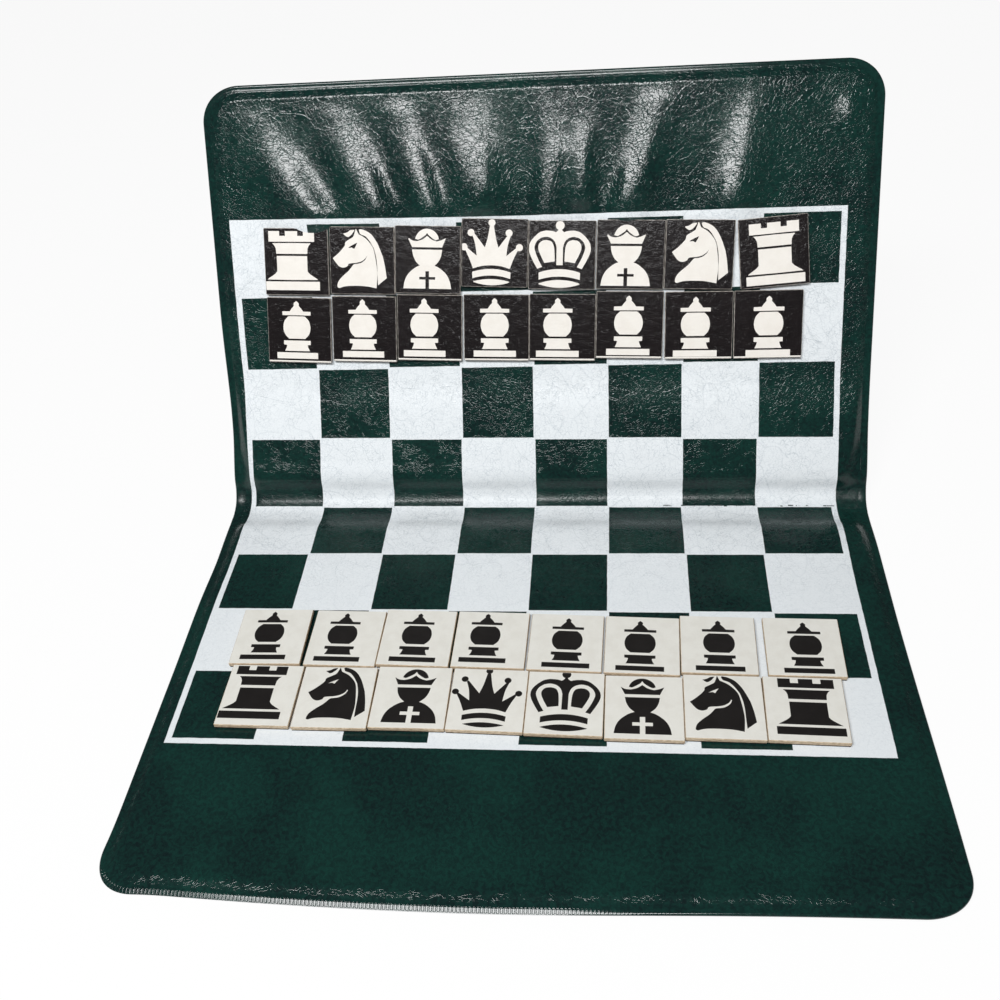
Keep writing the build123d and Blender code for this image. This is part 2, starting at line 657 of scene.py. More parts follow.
@dataclass(frozen=True)
class LayeredFinish(Finish):
    """Cut side of a sheet, with faint layers one above the other.

    Attributes:
        colour: Main colour.
        shade: Colour of the darker layers.
        layer: Thickness of one layer.
    """

    colour: Colour
    shade: Colour
    layer: float = 0.16

    def lay_out(self, pattern: Pattern) -> None:
        """Lay out the layers.

        Args:
            pattern: The material that they go in.
        """
        place = pattern.place(FLAT_MAP)
        fibres = pattern.clouds(pattern.stretch(place, 1.2, self.layer), 1.0, 2.0, 0.6)
        pattern.finish(
            Base_Color=pattern.mix(fibres.rise(0.3, 0.7), self.colour, self.shade),
            Roughness=fibres * 0.2 + 0.6,
            Normal=pattern.relief(fibres, 0.02),
        )


@dataclass(frozen=True)
class SteelFinish(Finish):
    """Thin rolled steel sheet, hidden in a cover.

    Attributes:
        colour: Colour of the metal.
        stain: Colour of the faint stains.
    """

    colour: Colour = paint(176, 178, 180)
    stain: Colour = paint(146, 146, 144)

    def lay_out(self, pattern: Pattern) -> None:
        """Lay out the streaks of rolling and the stains.

        Args:
            pattern: The material that they go in.
        """
        place = pattern.node("ShaderNodeTexCoord").outputs["Object"]
        streaks = pattern.clouds(pattern.stretch(place, 40 * MM, 0.6 * MM), 1.0, 3.0)
        stains = pattern.clouds(place, 12 * MM, 3.0).rise(0.45, 0.7)
        pattern.finish(
            Base_Color=pattern.mix(stains, self.colour, self.stain),
            Metallic=1.0,
            Roughness=streaks * 0.2 + 0.3,
            Normal=pattern.relief(streaks, 0.01),
        )


@dataclass(frozen=True)
class GreyBoardFinish(Finish):
    """Pressed grey board that stiffens a cover.

    Attributes:
        colour: Colour of the board.
        fleck: Colour of the flecks in it.
    """

    colour: Colour = paint(168, 160, 146)
    fleck: Colour = paint(120, 112, 100)

    def lay_out(self, pattern: Pattern) -> None:
        """Lay out the fibres and the flecks.

        Args:
            pattern: The material that they go in.
        """
        place = pattern.node("ShaderNodeTexCoord").outputs["Object"]
        fibres = pattern.clouds(place, 0.8 * MM, 3.0, 0.6)
        flecks = pattern.clouds(place, 2.5 * MM, 3.0).rise(0.56, 0.66)
        pattern.finish(
            Base_Color=pattern.mix(flecks, self.colour, self.fleck),
            Roughness=fibres * 0.2 + 0.7,
            Normal=pattern.relief(fibres, 0.03),
        )


@dataclass(frozen=True)
class FloorFinish(Finish):
    """Plain pale floor that shows white and keeps a faint shadow.

    Attributes:
        colour: Colour of the floor under the lamps.
        glow: Share of plain white that the camera sees in it.
    """

    colour: Colour = (0.9, 0.9, 0.9)
    glow: float = 0.92

    def lay_out(self, pattern: Pattern) -> None:
        """Lay out the matt floor, and the plain white that a camera and a mirror see in it.

        Args:
            pattern: The material that they go in.
        """
        matt = pattern.node("ShaderNodeBsdfDiffuse")
        pattern.feed(matt.inputs["Color"], self.colour)
        white = pattern.node("ShaderNodeEmission")
        white.inputs["Strength"].default_value = 1.0
        rays = pattern.node("ShaderNodeLightPath").outputs
        seen = Field(pattern, rays["Is Camera Ray"])
        mirrored = Field(pattern, rays["Is Glossy Ray"])
        through = Field(pattern, rays["Is Transmission Ray"])
        mixed = pattern.node("ShaderNodeMixShader")
        pattern.feed(mixed.inputs[0], seen.most(mirrored).most(through) * self.glow)
        pattern.feed(mixed.inputs[1], matt.outputs[0])
        pattern.feed(mixed.inputs[2], white.outputs[0])
        pattern.end(mixed.outputs[0])


# Wallet


@dataclass
class Spots:
    """Places on the flat wallet, one for each point of a sheet's grid.

    Attributes:
        across: How far across the wallet they lie.
        along: How far along it they lie.
        from_edge: How far they lie from the edge.
        round_edge: How far round the edge they lie.
        rows: Number of rows in the grid.
        columns: Number of columns in it.
    """

    across: np.ndarray
    along: np.ndarray
    from_edge: np.ndarray
    round_edge: np.ndarray
    rows: int
    columns: int


@dataclass(frozen=True)
class Guide:
    """A line in the YZ plane that a sheet follows, by the length along the flat wallet.

    Attributes:
        knots: Points as (length, y, z). The line goes on straight beyond its ends.
    """

    knots: tuple[tuple[float, float, float], ...]

    def at(self, length: np.ndarray) -> np.ndarray:
        """Find places on the line.

        Args:
            length: Lengths along the flat wallet.

        Returns:
            One (y, z) row per length.
        """
        table = np.array(self.knots)
        start, place = table[:, 0], table[:, 1:]
        step = np.diff(start)[:, None]
        run = np.diff(place, axis=0) / step
        bend = (run[:-1] * step[1:] + run[1:] * step[:-1]) / (step[1:] + step[:-1])
        slope = np.vstack([run[:1], bend, run[-1:]])
        inside = np.clip(length, start[0], start[-1])
        part = np.clip(np.searchsorted(start, inside) - 1, 0, len(step) - 1)
        width = step[part]
        share = ((inside - start[part]) / width[:, 0])[:, None]
        first, last, first_slope, last_slope = curve_weights(share)
        curve = (
            place[part] * first
            + place[part + 1] * last
            + slope[part] * width * first_slope
            + slope[part + 1] * width * last_slope
        )
        beyond = (length - inside)[:, None]
        return curve + beyond * np.where(beyond < 0, slope[:1], slope[-1:])

    def off(self, length: np.ndarray) -> np.ndarray:
        """Find the directions that stand off the line, upwards on the near cover.

        Args:
            length: Lengths along the flat wallet.

        Returns:
            One unit (y, z) row per length.
        """
        ahead = self.at(length + 0.1) - self.at(length - 0.1)
        ahead /= np.linalg.norm(ahead, axis=1)[:, None]
        return np.stack([-ahead[:, 1], ahead[:, 0]], axis=1)


@dataclass(frozen=True)
class Swell:
    """A soft ridge in the vinyl, which grows from its top to its bottom.

    Attributes:
        spine: Points on its crest as (across, along), from the top down.
        start: How far the crest stands off at its top.
        end: How far it stands off at its bottom.
        reach: How wide the ridge is on each side of its crest.
    """

    spine: tuple[Point, ...]
    start: float
    end: float
    reach: float

    def rise(self, spots: Spots) -> np.ndarray:
        """Find the ridge's height.

        Args:
            spots: Places on the flat wallet.

        Returns:
            One height per place.
        """
        passed, _ = self.beside(spots, self.spine[0], self.spine[-1])
        nearest = np.full(len(spots.across), np.inf)
        for above, below in zip(self.spine, self.spine[1:]):
            _, gap = self.beside(spots, above, below)
            nearest = np.minimum(nearest, gap)
        grown = 0.4 * passed**1.2 + 0.6 * ease(passed, 0, 1)
        crest = self.start + (self.end - self.start) * grown
        return crest * np.exp(-((nearest / self.reach**2) ** 1.25))

    def beside(self, spots: Spots, above: Point, below: Point) -> tuple[np.ndarray, np.ndarray]:
        """Compare places with one straight run of the crest.

        Args:
            spots: Places on the flat wallet.
            above: Where the run starts.
            below: Where it ends.

        Returns:
            The share of the run that each place has passed, and its distance from it, squared.
        """
        (x0, y0), (x1, y1) = above, below
        run = (x1 - x0) ** 2 + (y1 - y0) ** 2
        share = np.clip(((spots.across - x0) * (x1 - x0) + (spots.along - y0) * (y1 - y0)) / run, 0, 1)
        off_across = spots.across - x0 - share * (x1 - x0)
        off_along = spots.along - y0 - share * (y1 - y0)
        return share, off_across**2 + off_along**2


class Cover(Enum):
    """The two halves that a sheet of the wallet is made in. They meet in the middle of the spine."""

    NEAR = "near"
    FAR = "far"


# Where the inner sheet runs at the board's left and right edge, read off the photograph: flat on the
# near cover, a dip at the near crease, and a roll of loose vinyl below the far cover's board.
INNER_LEFT = Guide((
    (-40.0, -14.444, 3.0), (-20.0, 5.556, 3.0), (-9.4, 16.16, 3.05), (-3.0, 22.5, 3.05), (2.0, 27.0, 2.15),
    (5.9, 30.6, 2.4), (9.4, 33.4, 4.0), (12.7, 35.1, 6.7), (16.4, 36.0, 10.2), (22.8, 39.8, 15.35),
    (29.1, 43.6, 20.4), (38.0, 48.8, 27.7), (48.0, 54.084, 35.123), (56.0, 57.839, 42.187),
))
INNER_RIGHT = Guide((
    (-40.0, -14.444, 3.0), (-20.0, 5.556, 3.05), (-9.4, 15.9, 3.6), (-3.0, 22.0, 3.35), (2.0, 26.8, 1.9),
    (5.9, 30.8, 1.8), (9.4, 34.1, 2.8), (12.7, 36.1, 5.0), (16.4, 36.6, 8.6), (22.8, 39.6, 14.0),
    (29.1, 43.1, 19.1), (38.0, 48.0, 26.6), (48.0, 54.084, 35.123), (56.0, 57.839, 42.187),
))
# Where the inner and the outer sheet are welded together, and the underside of the outer sheet
WELD = Guide((
    (-40.0, -14.444, 1.5), (-20.0, 5.556, 1.5), (-9.4, 16.1, 1.5), (-3.8, 21.5, 1.25), (1.9, 26.8, 0.95),
    (5.9, 30.8, 1.1), (9.4, 34.2, 2.4), (12.7, 36.7, 5.1), (16.4, 38.2, 8.4), (22.8, 41.5, 13.0),
    (29.1, 45.3, 17.8), (38.0, 50.45, 25.7), (48.0, 55.408, 34.419), (56.0, 59.164, 41.483),
))
OUTER = Guide((
    (-12.0, 13.56, 0.0), (-4.0, 21.56, 0.0), (0.0, 25.4, 0.35), (4.0, 29.5, 0.55), (8.0, 33.6, 0.95),
    (11.0, 37.4, 1.75), (14.55, 41.03, 4.18), (18.0, 42.65, 7.23), (26.0, 46.4, 14.29),
))

# Ridges in the loose vinyl between the board and the far edge
SWELLS = (
    Swell(((-87.0, 125.0), (-79.5, 113.0), (-66.0, 94.0)), 0.2, 3.1, 8.0),
    Swell(((-61.0, 126.0), (-56.0, 116.0), (-48.0, 97.0)), 0.2, 3.0, 7.0),
    Swell(((-40.0, 127.0), (-37.0, 114.0), (-31.0, 95.0)), 0.3, 2.8, 5.2),
    Swell(((-20.0, 126.0), (-19.0, 115.0), (-17.0, 101.0)), 0.2, 2.5, 8.2),
    Swell(((4.0, 126.0), (5.0, 112.0), (3.0, 96.0)), 0.1, 2.2, 4.6),
    Swell(((11.5, 124.0), (13.5, 117.0), (13.0, 100.0)), 0.1, 1.8, 4.0),
    Swell(((35.0, 127.0), (32.0, 114.0), (26.0, 94.0)), 0.2, 2.8, 5.8),
    Swell(((64.0, 126.0), (60.5, 114.0), (55.5, 94.0)), 0.2, 2.9, 6.4),
    Swell(((89.0, 127.0), (88.0, 118.0)), 0.1, 0.8, 4.5),
)


@dataclass
class Wallet:
    """Folding vinyl wallet: an inner and an outer sheet, welded together round their edges.

    Attributes:
        width: Size across.
        panel_length: Length of a cover from its crease to its free edge.
        far_crease: Where the far cover's crease lies, along the flat wallet.
        corner: Radius of the free corners.
        rim: Width of the welded rim.
        skin: Thickness of the vinyl.
        bead: How far the rim's outer part stands off the rest of it.
        groove: Distance from the edge to the groove inside that bead.
        groove_depth: Depth of that groove.
        lip: Width of the worn lip along the near edge.
        board_run: Width of the board, from the left guide to the right one.
        outer: Finish of the outside.
        inner: Finish of the inside, with the board.
        sheets: The sheets that are made.
    """

    width: float = 193.0
    panel_length: float = 121.5
    far_crease: float = 12.0
    corner: float = 10.5
    rim: float = 3.0
    skin: float = 0.45
    bead: float = 0.08
    groove: float = 2.2
    groove_depth: float = 0.1
    lip: float = 1.15
    board_run: float = 178.7
    outer: VinylFinish = VinylFinish()
    inner: VinylFinish = VinylFinish(board=BoardPrint())
    sheets: list[bpy.types.Object] = field(default_factory=list)

    @property
    def half_spine(self) -> float:
        """Distance from each crease to where the two halves of a sheet meet."""
        return self.far_crease / 2

    def lines(self, cover: Cover) -> tuple[np.ndarray, np.ndarray]:
        """Choose the lines of a sheet's mesh, close together at the rim and over the fold.

        Args:
            cover: Which half of the sheet.

        Returns:
            The lines' places across, and their distances from the cover's crease.
        """
        rim = np.concatenate([np.linspace(0, self.rim, 16), np.linspace(3.3, 5.4, 8), np.linspace(6, 9.9, 7)])
        inside = self.width / 2 - self.corner
        half = np.concatenate([-self.width / 2 + rim, np.linspace(-inside, 0, 76)])
        across = np.concatenate([half, -half[-2::-1]])
        # The far cover's outer lines are close together for its swells, and the last ones for the fold
        if cover is Cover.NEAR:
            outer_end, board_end, outer_lines, board_lines = 55.0, 26.0, 22, 18
        else:
            outer_end, board_end, outer_lines, board_lines = 80.0, 36.0, 30, 26
        reach = np.concatenate([
            self.panel_length - rim,
            np.linspace(self.panel_length - self.corner, outer_end, outer_lines),
            np.linspace(outer_end, board_end, board_lines)[1:],
            np.linspace(board_end, -self.half_spine, 90)[1:],
        ])
        return across, reach

    def flat(self, cover: Cover) -> Spots:
        """Lay out one half of a sheet, with its grid bent round the free corners.

        Args:
            cover: Which half of the sheet.

        Returns:
            Its places on the flat wallet.
        """
        columns, rows = self.lines(cover)
        across, reach = (grid.ravel() for grid in np.meshgrid(columns, rows))
        to_side = self.width / 2 - np.abs(across)
        to_end = self.panel_length - reach
        side = np.clip(1 - to_side / self.corner, 0, 1)
        end = np.clip(1 - to_end / self.corner, 0, 1)
        ring = np.maximum(side, end)
        both = (side > 0) & (end > 0)
        turn = np.where(
            side >= end,
            end / np.where(side > 0, side, 1),
            2 - side / np.where(end > 0, end, 1),
        ) * math.pi / 4
        middle_across = self.width / 2 - self.corner
        middle_reach = self.panel_length - self.corner
        round_end = middle_reach + self.corner * math.pi / 2 + middle_across - np.abs(across)
        round_edge = np.where((end > 0) & ~both, round_end, reach)
        round_edge = np.where(both, middle_reach + self.corner * turn, round_edge)
        from_edge = np.where(both, self.corner * (1 - ring), np.minimum(to_side, to_end))
        bent_across = middle_across + self.corner * ring * np.cos(turn)
        bent_reach = middle_reach + self.corner * ring * np.sin(turn)
        across = np.where(both, np.sign(across) * bent_across, across)
        reach = np.where(both, bent_reach, reach)
        along = -reach if cover is Cover.NEAR else reach + self.far_crease
        return Spots(across, along, from_edge, round_edge, len(rows), len(columns))

    def worn(self, flat: Spots) -> Spots:
        """Bend the outline as use has bent it: a bowed near edge and flared sides.

        Args:
            flat: Places on the flat wallet.

        Returns:
            The bent places.
        """
        across, along = flat.across, flat.along
        # The near edge bows outwards, most a little left of its middle
        near_edge = ease(along, -88.0, -self.panel_length)
        off = across + 16
        fall = np.where(off < 0, 0.0004 * off**2, 2.6 - 2.6 * np.exp(-((off / 62) ** 2)))
        # The right side flares near the player, the left one on the far cover, and the fold draws both in
        side = ease(np.abs(across), 84.0, 96.5)
        right = 1.4 * ease(along, -30.0, -118.0) - 0.15 * np.exp(-(((along - 8) / 16) ** 2))
        left = 0.9 * ease(along, 30.0, 70.0) - 0.3 * ease(along, -25.0, -60.0)
        left -= 0.6 * np.exp(-(((along + 16) / 13) ** 2))
        flare = np.where(across > 0, right, left)
        # The near left corner is pulled out
        to_corner = np.hypot(across + self.width / 2, along + self.panel_length)
        tug = 1.1 * np.exp(-((to_corner / 10) ** 2))
        across = across + np.sign(across) * side * flare - tug
        return replace(flat, across=across, along=along - near_edge * (1.9 - fall) - tug)

    def rim_height(self, flat: Spots) -> np.ndarray:
        """Height of the rim above the weld.

        It has a rounded edge, a bead and a groove inside it. Along the near edge a worn lip falls
        away to the outside, and there is no groove.

        Args:
            flat: Places on the flat wallet.

        Returns:
            One height per place.
        """
        inside = np.clip(flat.from_edge / self.groove, 0, 1)
        rounded = np.sqrt(np.clip(flat.from_edge / 0.35, 0, 1)) * 0.7 + 0.3
        bead = self.bead * np.sin(math.pi * inside) ** 0.8 * (1 - 0.75 * ease(flat.along, 90.0, 120.0))
        groove = self.groove_depth * np.exp(-(((flat.from_edge - self.groove) / 0.24) ** 2))
        plain = self.skin * rounded + bead - groove * ease(flat.along, 10.0, 30.0)
        lip = 0.04 + 0.6 * np.clip(flat.from_edge / self.lip, 0, 1)
        worn = ease(flat.along, -116.5, -119.5) * ease(flat.across, 60.0, 0.0)
        return plain * (1 - worn) + lip * worn

    def lift(self, spots: Spots, inner: bool) -> np.ndarray:
        """Find how far a sheet has left the weld for its place over or under the boards.

        The climb is longer over the fold, where the vinyl is loose.

        Args:
            spots: Places on the bent wallet.
            inner: True for the inner sheet, False for the outer one.

        Returns:
            One share per place, 0 at the weld.
        """
        middle, spread, slack = (self.far_crease, 13.0, 2.9) if inner else (self.half_spine, 5.0, 1.4)
        fold = np.exp(-(((spots.along - middle) / spread) ** 2))
        climb = (spots.from_edge - (1.3 + 1.7 * fold)) / (self.rim + slack * fold)
        return 0.6 * ease(climb, 0, 1) + 0.4 * np.clip(climb, 0, 1)

    def loose_height(self, spots: Spots) -> np.ndarray:
        """Find how far the inner sheet stands off its flat place beyond the board."""
        rise = sum(swell.rise(spots) for swell in SWELLS)
        return rise * ease(spots.from_edge, 4.0, 10.0) * ease(spots.along, 84.0, 98.0)

    def shape(self, flat: Spots, inner: bool) -> tuple[np.ndarray, np.ndarray]:
        """Shape one half of a sheet in space.

        Args:
            flat: Its places on the flat wallet.
            inner: True for the inner sheet, False for the outer one.

        Returns:
            The points of its shown side and of its welded side.
        """
        bent = self.worn(flat)
        weld, weld_off = WELD.at(bent.along), WELD.off(bent.along)
        rim = self.rim_height(flat)[:, None]
        lifted = self.lift(bent, inner)[:, None]
        if inner:
            right = np.clip(bent.across / self.board_run + 0.5, 0, 1)[:, None]
            board = INNER_LEFT.at(bent.along) * (1 - right) + INNER_RIGHT.at(bent.along) * right
            board_off = INNER_LEFT.off(bent.along) * (1 - right) + INNER_RIGHT.off(bent.along) * right
            loose = self.loose_height(bent)[:, None]
            shown = (weld + weld_off * rim) * (1 - lifted) + (board + board_off * loose) * lifted
            hidden = weld * (1 - lifted) + (board + board_off * (loose - self.skin)) * lifted
        else:
            under, under_off = OUTER.at(bent.along), OUTER.off(bent.along)
            shown = (weld - weld_off * rim) * (1 - lifted) + under * lifted
            hidden = weld * (1 - lifted) + (under + under_off * self.skin) * lifted
        return np.column_stack([bent.across, shown]), np.column_stack([bent.across, hidden])

    def make_sheet(self, cover: Cover, inner: bool) -> bpy.types.Object:
        """Make one half of a sheet as a closed shell.

        Args:
            cover: Which half.
            inner: True for the inner sheet, False for the outer one.

        Returns:
            The sheet's object.
        """
        flat = self.flat(cover)
        shown, hidden = self.shape(flat, inner)
        count = len(shown)
        grid = np.arange(count).reshape(flat.rows, flat.columns)
        quads = np.stack([grid[:-1, :-1], grid[:-1, 1:], grid[1:, 1:], grid[1:, :-1]], axis=-1).reshape(-1, 4)
        rim = np.concatenate([grid[0, :], grid[1:, -1], grid[-1, -2::-1], grid[-2:0:-1, 0]])
        after = np.roll(rim, -1)
        walls = np.stack([after, rim, rim + count, after + count], axis=1)
        faces = np.concatenate([quads, quads[:, ::-1] + count, walls])
        outward = inner == (cover is Cover.FAR)
        if not outward:
            faces = faces[:, ::-1]
        layer = "inner" if inner else "outer"
        mesh = bpy.data.meshes.new(f"{cover.value}_{layer}_sheet")
        mesh.from_pydata((np.concatenate([shown, hidden]) * MM).tolist(), [], faces.tolist())
        maps = {FLAT_MAP: (flat.across, flat.along), EDGE_MAP: (flat.from_edge, flat.round_edge)}
        for name, places in maps.items():
            corners = np.tile(np.stack(places, axis=1), (2, 1))[faces.ravel()]
            mesh.uv_layers.new(name=name).uv.foreach_set("vector", corners.astype(np.float32).ravel())
        mesh.shade_smooth()
        mesh.set_sharp_from_angle(angle=math.radians(50))
        return show(mesh.name, mesh)

    def build(self) -> None:
        """Make the four half sheets and let them stand for the CAD ones."""
        finishes = {True: self.inner.build("board_vinyl"), False: self.outer.build("cover_vinyl")}
        for cover in Cover:
            for inner in (True, False):
                sheet = self.make_sheet(cover, inner)
                sheet.data.materials.append(finishes[inner])
                side = "face" if inner else "back"
                if cover is Cover.NEAR:
                    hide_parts(f"base_{side}_skin", f"spine_{side}_skin")
                    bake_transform(sheet)
                else:
                    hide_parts(f"back_{side}_skin")
                    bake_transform(sheet)
                self.sheets.append(sheet)


@dataclass(frozen=True)
class Stiffening:
    """Steel sheet and stiffening board inside each cover.

    Attributes:
        steel: Finish of the steel.
        board: Finish of the board.
    """

    steel: SteelFinish = SteelFinish()
    board: GreyBoardFinish = GreyBoardFinish()

    def build(self, nodes: dict[str, bpy.types.Object]) -> None:
        """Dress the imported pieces, which keep their shape.

        Args:
            nodes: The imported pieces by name.
        """
        steel, board = self.steel.build("steel_sheet"), self.board.build("grey_board")
        for cover in ("base", "back"):
            for name, finish, slot in (("steel_sheet", steel, "steel"), ("stiffener", board, "board")):
                piece = nodes[f"{cover}_{name}"]
                piece.data.materials.clear()
                piece.data.materials.append(finish)


# Figures on the tiles


class Pen:
    """Draws one closed outline of a figure. X is measured from its middle and Y from its foot.

    Attributes:
        STEP: Length of the short lines that a curve is drawn with.
        points: What has been drawn so far.
    """

    STEP = 0.3

    def __init__(self, x: float, y: float) -> None:
        """Put the pen down at a place."""
        self.points: Outline = [(x, y)]

    def to(self, *corners: Point) -> "Pen":
        """Draw straight lines from one corner to the next."""
        self.points.extend(corners)
        return self

    def smooth(self, *places: Point) -> "Pen":
        """Draw a smooth line through some places.

        Args:
            *places: The places, in order.

        Returns:
            The pen.
        """
        knots = [Vector(place) for place in (self.points[-1], *places)]
        before = [knots[0], *knots[:-1]]
        after = [*knots[1:], knots[-1]]
        slopes = [(b - a) * 0.5 for a, b in zip(before, after)]
        for start, end, slope, next_slope in zip(knots, knots[1:], slopes, slopes[1:]):
            steps = max(3, round((end - start).length / self.STEP))
            for step in range(1, steps + 1):
                at_start, at_end, first_slope, last_slope = curve_weights(step / steps)
                place = start * at_start + end * at_end + slope * first_slope + next_slope * last_slope
                self.points.append((place.x, place.y))
        return self

    def arc(self, over: Point, end: Point) -> "Pen":
        """Draw an arc of a circle.

        Args:
            over: A place that it passes over.
            end: Where it ends.

        Returns:
            The pen.
        """
        (x0, y0), (x1, y1), (x2, y2) = self.points[-1], over, end
        twice = 2 * (x0 * (y1 - y2) + x1 * (y2 - y0) + x2 * (y0 - y1))
        s0, s1, s2 = x0**2 + y0**2, x1**2 + y1**2, x2**2 + y2**2
        middle_x = (s0 * (y1 - y2) + s1 * (y2 - y0) + s2 * (y0 - y1)) / twice
        middle_y = (s0 * (x2 - x1) + s1 * (x0 - x2) + s2 * (x1 - x0)) / twice
        start = math.atan2(y0 - middle_y, x0 - middle_x)
        passed = math.atan2(y1 - middle_y, x1 - middle_x)
        stop = math.atan2(y2 - middle_y, x2 - middle_x)
        turn, halfway = (stop - start) % math.tau, (passed - start) % math.tau
        if halfway > turn:
            turn -= math.tau
        radius = math.hypot(x0 - middle_x, y0 - middle_y)
        steps = max(4, round(abs(turn) * radius / self.STEP))
        for step in range(1, steps + 1):
            angle = start + turn * step / steps
            self.points.append((middle_x + radius * math.cos(angle), middle_y + radius * math.sin(angle)))
        return self


def mirrored(half: Outline) -> Outline:
    """Close the left half of an outline, from end to end of the middle line, with its mirror image."""
    return half + [(-x, y) for x, y in reversed(half) if abs(x) > 1e-6]


def bar(left: float, right: float, low: float, high: float) -> Outline:
    """Outline of a plain bar."""
    return [(left, low), (right, low), (right, high), (left, high)]


def ball(x: float, y: float, radius: float) -> Outline:
    """Outline of a round ball.

    Args:
        x: Its middle, across.
        y: Its middle, above the foot.
        radius: Its radius.

    Returns:
        Points round it.
    """
    steps = 24
    angles = [math.tau * step / steps for step in range(steps)]
    return [(x + radius * math.cos(angle), y + radius * math.sin(angle)) for angle in angles]


def draw_rook() -> list[Outline]:
    """Draw a tower: a crown with three teeth, a neck, a body and a foot."""
    teeth = [(-6.8, 14.1), (-6.8, 16.9), (-3.7, 16.9), (-3.7, 15.55), (-1.75, 15.55), (-1.75, 16.9)]
    neck = Pen(-5.7, 13.5).smooth((-5.1, 12.9), (-4.7, 12.0)).to((-4.6, 10.6))
    body = Pen(-4.5, 9.75).to((-4.5, 5.4)).smooth((-5.3, 4.5), (-7.6, 3.0))
    return [
        mirrored([(0.0, 14.1), *teeth, (0.0, 16.9)]),
        mirrored([(0.0, 13.5), *neck.points, (0.0, 10.6)]),
        mirrored([(0.0, 9.75), *body.points, (0.0, 3.0)]),
        bar(-8.1, 8.1, 0.0, 2.3),
    ]


def draw_bishop() -> list[Outline]:
    """Draw a bishop: a cap, a crown band, a cup for the face and shoulders with a cross."""
    cap = Pen(-3.35, 14.25).arc((0.0, 16.95), (3.35, 14.25)).smooth((2.6, 14.0), (1.6, 14.5), (0.45, 15.4))
    cap.to((0.0, 16.1), (-0.45, 15.4)).smooth((-1.6, 14.6), (-2.6, 14.05), (-3.35, 14.25))
    crown = Pen(-5.4, 14.2).to((-4.35, 11.9), (4.35, 11.9), (5.45, 14.3)).smooth((4.3, 13.75), (2.9, 13.35))
    crown.smooth((1.3, 13.9), (0.0, 14.9)).smooth((-1.3, 13.9), (-2.9, 13.4))
    crown.smooth((-4.3, 13.55), (-5.4, 14.2))
    cup = Pen(-4.33, 11.0).smooth((-4.0, 9.3), (-3.2, 7.7), (-1.95, 6.5)).to((1.95, 6.5))
    cup.smooth((3.2, 7.7), (4.0, 9.3), (4.33, 11.0))
    chest = Pen(-7.0, 0.0).smooth((-6.55, 2.2), (-5.5, 4.1), (-3.6, 5.75), (-1.95, 6.5)).to((1.95, 6.5))
    chest.smooth((3.6, 5.75), (5.5, 4.1), (6.55, 2.2), (7.0, 0.0)).to((0.65, 0.0), (0.65, 2.4), (2.5, 2.4))
    chest.to((2.5, 3.4), (0.65, 3.4), (0.65, 5.05), (-0.65, 5.05), (-0.65, 3.4), (-2.5, 3.4), (-2.5, 2.4))
    chest.to((-0.65, 2.4), (-0.65, 0.0))
    return [cap.points, crown.points, cup.points, chest.points]


def draw_pawn() -> list[Outline]:
    """Draw a pawn: a knob, a hat and its brim, a round head, a collar, a stand and a foot."""
    hat = Pen(-4.2, 13.0).to((-4.2, 13.85), (-2.0, 13.9)).smooth((-1.45, 14.7), (-0.6, 15.65))
    hat.smooth((-0.65, 16.35), (0.0, 16.95))
    head = Pen(-2.45, 12.45).smooth((-3.6, 11.2), (-4.05, 9.2), (-3.6, 7.3), (-2.45, 6.0))
    stand = Pen(-4.0, 5.2).to((-4.0, 4.2), (-3.05, 4.1)).smooth((-3.2, 3.3), (-3.65, 2.3))
    return [
        mirrored([(0.0, 13.0), *hat.points]),
        mirrored([(0.0, 12.45), *head.points, (0.0, 6.0)]),
        mirrored([(0.0, 5.2), *stand.points, (0.0, 2.3)]),
        bar(-6.2, 6.2, 0.0, 1.6),
    ]


def draw_queen() -> list[Outline]:
    """Draw a crown with five points, each ending in a ball, over a band and a lens."""
    left = Pen(0.0, 16.8).to((-0.45, 16.8)).smooth((-1.2, 12.9), (-1.95, 10.45))
    left.to((-5.1, 14.4), (-5.55, 14.1)).smooth((-4.7, 11.4), (-4.25, 8.1)).to((-7.5, 10.6), (-7.8, 10.2))
    left.smooth((-6.5, 7.6), (-5.4, 4.8)).smooth((-2.8, 5.5), (0.0, 5.75))
    band = Pen(-5.55, 3.55).arc((0.0, 4.45), (5.5, 3.55)).to((5.4, 1.95)).arc((0.0, 2.8), (-5.5, 1.95))
    lens = Pen(-5.2, 0.85).arc((0.0, 1.55), (5.2, 0.85)).arc((0.0, 0.0), (-5.2, 0.85))
    tips = ((0.0, 17.65), (-6.1, 14.8), (5.0, 14.8), (-8.1, 10.75), (8.1, 10.75))
    right = [(-x * 0.98, y) for x, y in reversed(left.points) if abs(x) > 1e-6]
    return [
        left.points + right,
        band.points,
        lens.points,
        *(ball(x, y, 0.9) for x, y in tips),
    ]


